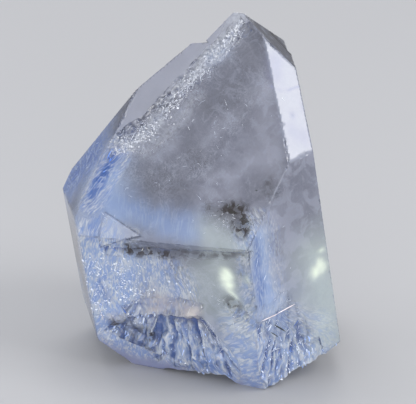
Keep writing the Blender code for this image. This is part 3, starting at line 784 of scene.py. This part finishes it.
def patch(skin, fan):
    """How much of a fan's break each point of the skin belongs to: how rough it is there, fading
    out towards the border."""
    name, _, line, reach, _ = FANS[fan]
    points, _, rough = skin
    return smooth_step(*BLADE_BORDER, reach_of(points, on_face(name, line)) / reach) * rough + 1e-9


# Splinters that stand on the breaks: how steeply, how deep in widths, and fan, how many, widths, how
# slender, spread of their direction
BLADE_RISE, BLADE_SINK = 0.12, 0.42
BLADES = (
    ("comb", 90, (0.05, 0.13), (2.4, 6.0), 0.16),
    ("lobe", 110, (0.05, 0.12), (3.0, 7.0), 0.2),
    ("back", 60, (0.1, 0.25), (2.2, 4.0), 0.2),
)


def make_blades(skin, material):
    """Icy splinters half sunk in the breaks, each leaning along its fan: their feet are points of
    the skin, drawn at random with the patch as their odds."""
    dice = np.random.default_rng(31)
    parts = []
    for fan, count, widths, slender, spread in BLADES:
        share = patch(skin, fan)
        picked = dice.choice(len(share), count, p=share / share.sum())
        centres, normals = skin[0][picked], skin[1][picked]
        turn, _ = fan_place(centres, *FANS[fan][:2])
        level = heading(FANS[fan][0], turn + dice.normal(0, spread, count))
        directions = unit(level + BLADE_RISE * normals)
        width = dice.uniform(*widths, count)
        centres = centres - normals * width[:, None] * BLADE_SINK
        frames = frames_along(directions, width * dice.uniform(*slender, count), width, dice)
        parts.append((centres, frames))
    centres, frames = (np.concatenate(column) for column in zip(*parts))
    stamp("break_splinters", blade(), centres, frames, material)


# Bright flakes, white grains set as painted glints: least width, how much wider, power, how
# slender, and face, places of the patch's middle line, half width, how many, depth range
FLAKE_SIZES = (0.05, 0.2, 3, 0.4)
FLAKES = (
    (FRONT, ((-5.8, -2.0), (-5.8, -6.4)), 0.8, 460, (-0.02, 0.1)),
    (FRONT, ((-4.2, -2.2), (-3.6, -4.8)), 1.1, 460, (-0.02, 0.15)),
    (FRONT, ((-2.0, -2.4), (0.4, -3.2)), 0.9, 110, (-0.02, 0.2)),
    (FRONT, ((-3.4, -8.4), (-1.4, -8.6), (1.4, -9.6)), 0.6, 90, (0.0, 0.9)),
    (TOP, ((-3.0, -1.0), (3.0, 6.0)), 2.0, 40, (0.0, 0.3)),
    ("lobe", ((-3.4, -7.4), (-0.6, -9.4), (2.6, -9.6)), 0.8, 160, (-0.02, 0.2)),
    (RIGHT, ((-1.5, 0.4), (1.8, -8.0)), 0.9, 60, (0.0, 0.3)),
)


def scatter(name, centres, out, sizes, material, dice):
    """Eight-sided grains turned at random, most of them small: each is least + more * u^power
    wide, u being drawn evenly from 0 to 1, and slender times as long."""
    least, more, power, slender = sizes
    centres = centres[depths_of(centres) > -out]
    directions = unit(dice.normal(size=centres.shape))
    width = least + more * dice.uniform(0, 1, len(centres)) ** power
    stamp(name, GRAIN, centres, frames_along(directions, width * slender, width, dice), material)


def make_flakes(material):
    """Thin bright flakes, at the centres of sprays: white grains that are painted glints."""
    dice = np.random.default_rng(41)
    centres = np.concatenate([spray((*row, 0, 0, (1, 1)), dice)[0] for row in FLAKES])
    scatter("painted_glint_flakes", centres, FLAKE_OUT, FLAKE_SIZES, material, dice)


# Moss: how much of a grain's slant to the face is taken away, its length and width, and face, heart
# of the clump, its spread, how many grains, depth range
MOSS_LIES, MOSS_LENGTHS, MOSS_WIDTHS = 0.85, (0.08, 0.35), (0.02, 0.08)
MOSS = (
    (TOP, (3.9, -0.5), 0.3, 260, (-0.02, 0.4)),
    (TOP, (4.9, -1.3), 0.36, 380, (-0.02, 0.4)),
    (TOP, (4.4, -0.9), 0.75, 320, (-0.02, 0.6)),
    (TOP, (3.0, -0.8), 0.35, 110, (0.0, 0.6)),
    (TOP, (5.9, 1.2), 0.4, 90, (0.05, 0.8)),
    (FRONT, (3.9, -3.8), 0.3, 70, (0.0, 0.6)),
    (FRONT, (4.4, -4.5), 0.45, 90, (0.0, 0.8)),
)


def make_moss(material):
    """Dark moss under the front: stretched grains crowded about the hearts of the clumps, their
    places on the face spread normally and their depths evenly. They lie more along the face than
    across it, and those that would stand out are left out."""
    dice = np.random.default_rng(21)
    centres, outward = [], []
    for name, place, spread, count, depth in MOSS:
        places = np.array(place) + dice.normal(0, spread, (count, 2))
        centres.append(seen_under(name, places, dice.uniform(*depth, count)))
        outward.append(np.tile(FACES[name][3], (count, 1)))
    centres, outward = np.concatenate(centres), np.concatenate(outward)
    directions = dice.normal(size=centres.shape)
    directions = unit(directions - MOSS_LIES * (directions * outward).sum(1)[:, None] * outward)
    lengths = dice.uniform(*MOSS_LENGTHS, len(centres))
    frames = frames_along(directions, lengths, dice.uniform(*MOSS_WIDTHS, len(centres)), dice)
    kept = inside(centres, directions * lengths[:, None] / 2, 0, MOSS_OUT)
    stamp("moss", GRAIN, centres[kept], frames[kept], material)


# The seam's middle line on the front rhomb, from the tip down, how many grains lie on it, how they
# crowd towards the tip, how far they stray, how deep they lie, and their sizes as the flakes' are
SEAM_LINE = (
    (1.1, 12.0),
    (0.9, 10.6),
    (0.1, 9.2),
    (-1.4, 7.1),
    (-2.7, 4.3),
    (-3.6, 3.0),
    (-4.4, 2.2),
    (-5.4, 2.0),
)
SEAM_GRAINS, SEAM_CROWDING, SEAM_STRAY, SEAM_DEPTHS = 2600, 1.5, 0.3, (-0.08, 0.03)
SEAM_SIZES = (0.03, 0.09, 2, 1.6)


def make_seam_grains(material):
    """Frosted powder along the seam: its place on the line is an even draw to a power, and it is
    spread across the line normally."""
    dice = np.random.default_rng(5)
    share = dice.uniform(0, 1, SEAM_GRAINS) ** SEAM_CROWDING * (len(SEAM_LINE) - 1.0001)
    places = places_along(SEAM_LINE, share) + dice.normal(0, SEAM_STRAY, (SEAM_GRAINS, 2))
    centres = on_face(TOP, places, dice.uniform(*SEAM_DEPTHS, SEAM_GRAINS))
    scatter("seam_grains", centres, POWDER_OUT, SEAM_SIZES, material, dice)


# Straight lines in the skin: how deep their middle lies, and face, start, end, width
LINE_DEPTH = 0.03
PALE_LINES = (
    (RIGHT, (-1.3, -5.6), (0.2, -5.45), 0.075),
    (RIGHT, (0.0, -5.45), (1.6, -5.15), 0.065),
    (FRONT, (-5.9, -5.4), (-5.45, -7.2), 0.12),
    ("left_prism", (-2.0, 0.4), (-1.4, -2.4), 0.06),
)
DARK_LINES = (
    ("right_rhomb", (2.7, 4.4), (4.3, 4.1), 0.06),
    (RIGHT, (-0.2, -6.15), (0.8, -6.95), 0.1),
    (RIGHT, (-0.5, -6.6), (0.2, -7.2), 0.07),
    ("right_back_rhomb", (1.0, 5.0), (1.5, 3.8), 0.08),
)


def make_lines(name, rows, material):
    """One long thread for each row, just under its face."""
    dice = np.random.default_rng(51)
    starts, ends = (
        np.concatenate([on_face(row[0], row[side], -LINE_DEPTH) for row in rows]) for side in (1, 2)
    )
    lengths = np.linalg.norm(ends - starts, axis=1)
    widths = np.array([row[3] for row in rows])
    frames = frames_along((ends - starts) / lengths[:, None], lengths, widths, dice)
    stamp(name, THREAD, (starts + ends) / 2, frames, material)


def node(tree, kind, inputs=None, **settings):
    """A new node with its settings. An input is a value, or the socket that feeds it."""
    made = tree.nodes.new(kind)
    for key, value in settings.items():
        setattr(made, key, value)
    for key, value in (inputs or {}).items():
        if isinstance(value, bpy.types.NodeSocket):
            tree.links.new(value, made.inputs[key])
        else:
            made.inputs[key].default_value = value
    return made


def blend(tree, share, under, over):
    """The colour over laid on the colour under by a share."""
    inputs = {0: share, 6: under, 7: over}
    return node(tree, "ShaderNodeMix", inputs, data_type="RGBA").outputs[2]


def maths(tree, operation, a, b=0.0, **settings):
    """One sum or comparison of two values."""
    return node(tree, "ShaderNodeMath", {0: a, 1: b}, operation=operation, **settings).outputs[0]


def times(tree, a, b):
    """The product of two values, kept between 0 and 1."""
    return maths(tree, "MULTIPLY", a, b, use_clamp=True)


def ramp(tree, value, low, high, least=0.0, most=1.0):
    """Passes softly from least to most while the value goes from low to high."""
    inputs = {0: value, 1: low, 2: high, 3: least, 4: most}
    return node(tree, "ShaderNodeMapRange", inputs, interpolation_type="SMOOTHSTEP").outputs[0]


def tone_group():
    """Mottled tone, shared by every material: a noise in layers makes a mask, which blends two
    colours. The mask goes from 0 to 1 while the noise passes from 1 - b to b, with
    b = 0.74 - 0.24 * hardness."""
    tree = bpy.data.node_groups.new("mottled_tone", "ShaderNodeTree")
    for side, name, kind in (
        ("INPUT", "Light", "Color"),
        ("INPUT", "Dark", "Color"),
        ("INPUT", "Per Metre", "Float"),
        ("INPUT", "Hardness", "Float"),
        ("OUTPUT", "Color", "Color"),
        ("OUTPUT", "Mask", "Float"),
    ):
        tree.interface.new_socket(name, in_out=side, socket_type="NodeSocket" + kind)
    given = tree.nodes.new("NodeGroupInput").outputs
    place = node(tree, "ShaderNodeTexCoord").outputs["Object"]
    inputs = {"Vector": place, "Scale": given["Per Metre"], "Detail": 5.0, "Distortion": 0.6}
    noise = node(tree, "ShaderNodeTexNoise", inputs).outputs[0]
    border = maths(tree, "ADD", maths(tree, "MULTIPLY", given["Hardness"], -0.24), 0.74)
    mask = ramp(tree, noise, maths(tree, "SUBTRACT", 1.0, border), border)
    out = tree.nodes.new("NodeGroupOutput")
    tree.links.new(blend(tree, mask, given["Dark"], given["Light"]), out.inputs["Color"])
    tree.links.new(mask, out.inputs["Mask"])
    return tree


def new_material(name, **plain):
    """A material, its nodes and its shader, whose sockets take the given values."""
    material = bpy.data.materials.new(name)
    material.use_nodes = True
    shader = material.node_tree.nodes["Principled BSDF"]
    for key, value in plain.items():
        shader.inputs[key.replace("_", " ")].default_value = value
    return material, material.node_tree, shader


def mottled(tree, group, light, dark, per_metre, hardness):
    """The shared mottled tone with its own colours, size and hardness."""
    inputs = {"Light": light, "Dark": dark, "Per Metre": per_metre, "Hardness": hardness}
    return node(tree, "ShaderNodeGroup", inputs, node_tree=group)


# Colours, as light that the surface gives back
QUARTZ = (0.055, 0.056, 0.092, 1)
QUARTZ_PALE = (0.15, 0.157, 0.21, 1)
VEIL = (0.40, 0.43, 0.53, 1)
FUZZ = (0.56, 0.60, 0.71, 1)
FIBRE_PALE = (0.92, 0.96, 1.0, 1)
FIBRE_MID = (0.34, 0.50, 0.94, 1)
FURROW_SHADE = (0.05, 0.11, 0.36, 1)
TONES = {
    "smoke": (0.022, 0.02, 0.036, 1),
    "milk": (0.52, 0.54, 0.65, 1),
    "pale": (0.62, 0.64, 0.74, 1),
    "lilac": (0.40, 0.42, 0.66, 1),
    "blue": (0.54, 0.70, 1.0, 1),
    "green": (0.74, 0.84, 0.80, 1),
    "brown": (1.0, 0.90, 0.82, 1),
    "deep": (0.05, 0.15, 0.50, 1),
    # dark: moss and other dark marks, and painted shade under the ledge
    "dark": (0.03, 0.022, 0.022, 1),
    "frost": (0.66, 0.69, 0.76, 1),
    "painted_glow": (1.0, 1.0, 0.94, 1),
}
# Light that the painted glow spots give off, though they are no lamp
PAINTED_GLOW_LIGHT = (0.25, 0.33, 0.20, 1)

# Roughness of clean and of dusty skin, and the height of its fibres in millimetres
GLOSSY, DULL, BUMP_HEIGHT = 0.14, 0.55, 0.12

# Mottled noise in the skin: cells in a metre, hardness of their borders
CLOUDY, PATCHY, RAGGED, POWDERY = (380.0, 0.7), (800.0, 0.7), (2400.0, 0.9), (4200.0, 0.8)

# Fibres in the skin: cells in a millimetre across and along them
BROAD, STREAKY, CHIPPY = (2.0, 0.6), (9.0, 1.9), (12.0, 4.4)

# Plain finishes: hardness of their borders, and light tone, dark tone, cells in a metre, roughness
FINISH_HARDNESS = 0.4
FINISHES = {
    "blue_fibre": ((0.16, 0.32, 0.80, 1), (0.04, 0.12, 0.46, 1), 900.0, 0.3),
    "white_fibre": ((0.95, 0.97, 1.0, 1), (0.7, 0.76, 0.9, 1), 900.0, 0.15),
    "icy_splinter": ((0.82, 0.88, 0.98, 1), (0.34, 0.48, 0.84, 1), 1500.0, 0.1),
    "veil_fibre": ((0.86, 0.89, 0.96, 1), (0.5, 0.54, 0.66, 1), 900.0, 0.3),
    "dark_moss": ((0.06, 0.08, 0.06, 1), (0.012, 0.014, 0.014, 1), 3000.0, 0.6),
    "pale_line": ((0.88, 0.82, 0.84, 1), (0.7, 0.6, 0.62, 1), 2000.0, 0.2),
    "frosted_grain": ((0.8, 0.82, 0.86, 1), (0.55, 0.58, 0.66, 1), 3000.0, 0.35),
}

# The room: its light and strength, the floor's half side, tone and roughness, and the lamps: the
# way they lie from the heart, how far, the side of their square, and power in watts
ROOM_LIGHT, ROOM_STRENGTH = (0.93, 0.95, 1.0, 1), 0.78
FLOOR_REACH, FLOOR_TONE, FLOOR_ROUGHNESS = 1500.0, (0.44, 0.44, 0.45, 1), 0.7
LAMPS = {
    "front_softbox": ((0.0, -1.0, -0.02), 260, 180, 0.58),
    "facet_softbox": ((0.671, -0.281, 0.683), 190, 90, 0.14),
    "key_softbox": ((-0.95, 0.2, 0.25), 260, 160, 0.18),
    "top_softbox": ((-0.1, 0.35, 1.0), 260, 160, 0.2),
}


def along_fans(tree, across, along):
    """The place in the fans of fibres, with so many cells in a millimetre across and along them."""
    grain = node(tree, "ShaderNodeAttribute", attribute_name="grain").outputs["Vector"]
    inputs = {0: grain, 1: (across, along, 1)}
    return node(tree, "ShaderNodeVectorMath", inputs, operation="MULTIPLY").outputs[0]


def grain_noise(tree, across, along):
    """Noise that is stretched along the fans of fibres."""
    place = along_fans(tree, across, along)
    inputs = {"Vector": place, "Scale": 1.0, "Detail": 4.0, "Distortion": 0.4}
    return node(tree, "ShaderNodeTexNoise", inputs).outputs[0]


def grain_cells(tree, across, along):
    """A random value for each of many small cells, longer along the fans of fibres."""
    place = along_fans(tree, across, along)
    cells = node(tree, "ShaderNodeTexVoronoi", {"Vector": place, "Scale": 1.0}).outputs["Color"]
    return node(tree, "ShaderNodeSeparateColor", {0: cells}).outputs[0]


def threads(tree, per_metre, width):
    """Thin curling lines: 1 where a twisted noise is near its middle value, and 0 elsewhere."""
    place = node(tree, "ShaderNodeTexCoord").outputs["Object"]
    inputs = {"Vector": place, "Scale": per_metre, "Detail": 2.0, "Distortion": 1.6}
    noise = node(tree, "ShaderNodeTexNoise", inputs).outputs[0]
    return ramp(tree, maths(tree, "ABSOLUTE", maths(tree, "SUBTRACT", noise, 0.5)), width, 0.0)


def skin_material(group):
    """Cloudy quartz: half of the light goes through it. Its tones are laid over each other by their
    shares, and a share is the tone's strength at the place times a noise."""
    material, tree, shader = new_material("cloudy_quartz", IOR=QUARTZ_IOR, Transmission_Weight=0.5)
    at = {}
    for name in (*CHANNELS, "fibrous", "furrow", "crest", "edge"):
        at[name] = node(tree, "ShaderNodeAttribute", attribute_name=name).outputs["Fac"]
    masks = (mottled(tree, group, (1, 1, 1, 1), (0, 0, 0, 1), *look) for look in (PATCHY, RAGGED, POWDERY))
    patchy, ragged, powdery = (mask.outputs["Mask"] for mask in masks)
    broad, streaky = (grain_noise(tree, *look) for look in (BROAD, STREAKY))
    chips = grain_cells(tree, *CHIPPY)
    see_through = maths(tree, "SUBTRACT", 1.0, at["pale"])
    # The dark tone carries moss and other dark marks, and painted shade under the ledge
    marks_and_ledge_shade = times(tree, at["dark"], ramp(tree, ragged, 0.0, 1.0, 0.55, 1.0))

    def haze(per_metre, width, least, strength):
        curls = times(tree, threads(tree, per_metre, width), ramp(tree, patchy, 0.0, 1.0, least, 1.0))
        return times(tree, times(tree, curls, strength), see_through)

    def fibres(noise, begins, full, strength):
        return times(tree, times(tree, ramp(tree, noise, begins, full), at["fibrous"]), strength)

    colour = mottled(tree, group, QUARTZ_PALE, QUARTZ, *CLOUDY).outputs["Color"]
    for share, tone in (
        (times(tree, at["milk"], ramp(tree, patchy, 0.0, 1.0, 0.65, 1.0)), TONES["milk"]),
        (times(tree, at["smoke"], 0.95), TONES["smoke"]),
        # pale: on the right rhomb a painted reflection, on the shoulder and front rhomb the stone's paler
        # tone
        (at["pale"], TONES["pale"]),
        (haze(900.0, 0.07, 0.35, 0.5), VEIL),
        (haze(2600.0, 0.04, 0.3, 0.42), VEIL),
        (haze(4200.0, 0.07, 0.5, times(tree, at["felt"], 0.8)), FUZZ),
        (at["lilac"], TONES["lilac"]),
        (at["blue"], TONES["blue"]),
        (at["green"], TONES["green"]),
        (at["brown"], TONES["brown"]),
        (fibres(chips, 0.55, 0.9, 0.9), FIBRE_PALE),
        (fibres(chips, 0.4, 0.1, 0.5), FIBRE_MID),
        (fibres(broad, 0.5, 0.42, 0.5), FIBRE_MID),
        (fibres(broad, 0.52, 0.6, 0.4), FIBRE_PALE),
        (fibres(streaky, 0.46, 0.32, 0.6), FIBRE_MID),
        (fibres(streaky, 0.53, 0.66, 0.7), FIBRE_PALE),
        (times(tree, at["deep"], ramp(tree, streaky, 0.62, 0.46, 0.4, 1.0)), TONES["deep"]),
        # Painted shade in the furrows and painted highlight on the crests of the breaks
        (times(tree, at["furrow"], 0.85), FURROW_SHADE),
        (times(tree, at["crest"], 0.75), FIBRE_PALE),
        (ramp(tree, marks_and_ledge_shade, 0.1, 0.85), TONES["dark"]),
        # Whitish edges: wear, and partly a painted highlight
        (times(tree, at["edge"], 0.6), VEIL),
        (times(tree, ramp(tree, powdery, 0.0, 1.0, 0.35, 1.0), at["frost"]), TONES["frost"]),
        (at["painted_glow"], TONES["painted_glow"]),
        (times(tree, powdery, 0.07), VEIL),
    ):
        colour = blend(tree, share, colour, tone)
    tree.links.new(colour, shader.inputs["Base Color"])
    # The painted glow spots also give off light of their own
    tree.links.new(blend(tree, at["painted_glow"], (0, 0, 0, 1), PAINTED_GLOW_LIGHT), shader.inputs["Emission Color"])
    shader.inputs["Emission Strength"].default_value = 1.0
    dull = maths(tree, "MAXIMUM", at["frost"], at["dark"])
    tree.links.new(ramp(tree, dull, 0.0, 1.0, GLOSSY, DULL), shader.inputs["Roughness"])
    height = times(tree, maths(tree, "ADD", streaky, chips), times(tree, at["fibrous"], 0.5))
    bump = node(tree, "ShaderNodeBump", {"Height": height, "Strength": 0.6, "Distance": BUMP_HEIGHT * MM})
    tree.links.new(bump.outputs["Normal"], shader.inputs["Normal"])
    return material


def plain_stone(group, name, light, dark, per_metre, roughness):
    """A finish of mottled tone alone."""
    material, tree, shader = new_material(name, Roughness=roughness)
    tone = mottled(tree, group, light, dark, per_metre, FINISH_HARDNESS)
    tree.links.new(tone.outputs["Color"], shader.inputs["Base Color"])
    return material


def aimed(name, data, direction, distance):
    """A lamp or camera that looks at the heart of the crystal from a distance."""
    obj = bpy.data.objects.new(name, data)
    obj.location = (HEART + direction * distance) * MM
    obj.rotation_euler = Vector(direction).to_track_quat("Z", "Y").to_euler()
    bpy.context.scene.collection.objects.link(obj)
    return obj


def make_studio():
    """A wide pale floor, soft lamps and the camera."""
    scene = bpy.context.scene
    scene.view_settings.view_transform = "Standard"
    scene.world = bpy.data.worlds.new("pale_room")
    scene.world.use_nodes = True
    background = scene.world.node_tree.nodes["Background"]
    background.inputs["Color"].default_value = ROOM_LIGHT
    background.inputs["Strength"].default_value = ROOM_STRENGTH

    mesh = bpy.data.meshes.new("floor")
    corners = np.array([(-1, -1, 0), (1, -1, 0), (1, 1, 0), (-1, 1, 0)]) * FLOOR_REACH * MM
    mesh.from_pydata(corners, [], [(0, 1, 2, 3)])
    material, _, shader = new_material("pale_floor", Roughness=FLOOR_ROUGHNESS)
    shader.inputs["Base Color"].default_value = FLOOR_TONE
    mesh.materials.append(material)
    floor = bpy.data.objects.new("floor", mesh)
    scene.collection.objects.link(floor)

    for name, (direction, distance, size, power) in LAMPS.items():
        data = bpy.data.lights.new(name, "AREA")
        data.shape = "SQUARE"
        data.size = size * MM
        data.energy = power
        aimed(name, data, unit(np.array(direction)), distance)

    data = bpy.data.cameras.new("camera")
    data.sensor_width = CAMERA_FILM
    data.lens = CAMERA_LENS
    data.clip_start, data.clip_end = 0.01, 10
    scene.camera = aimed("camera", data, TO_CAMERA, CAMERA_DISTANCE)


group = tone_group()
make_studio()
skin = make_skin(skin_material(group))
finish = {name: plain_stone(group, name, *look) for name, look in FINISHES.items()}
make_sprays("blue_fibres", NEEDLE, SPRAYS, finish["blue_fibre"], widths=(0.04, 0.10), bend=0.06, seed=3)
make_sprays("pale_needles", NEEDLE, NEEDLES, finish["white_fibre"], widths=(0.02, 0.06), bend=0.05, seed=4)
make_sprays("pale_wisps", THREAD, WISPS, finish["veil_fibre"], widths=(0.010, 0.026), bend=0.3, seed=6)
make_blades(skin, finish["icy_splinter"])
make_flakes(finish["white_fibre"])
make_moss(finish["dark_moss"])
make_lines("pale_lines", PALE_LINES, finish["pale_line"])
make_lines("dark_lines", DARK_LINES, finish["dark_moss"])
make_seam_grains(finish["frosted_grain"])
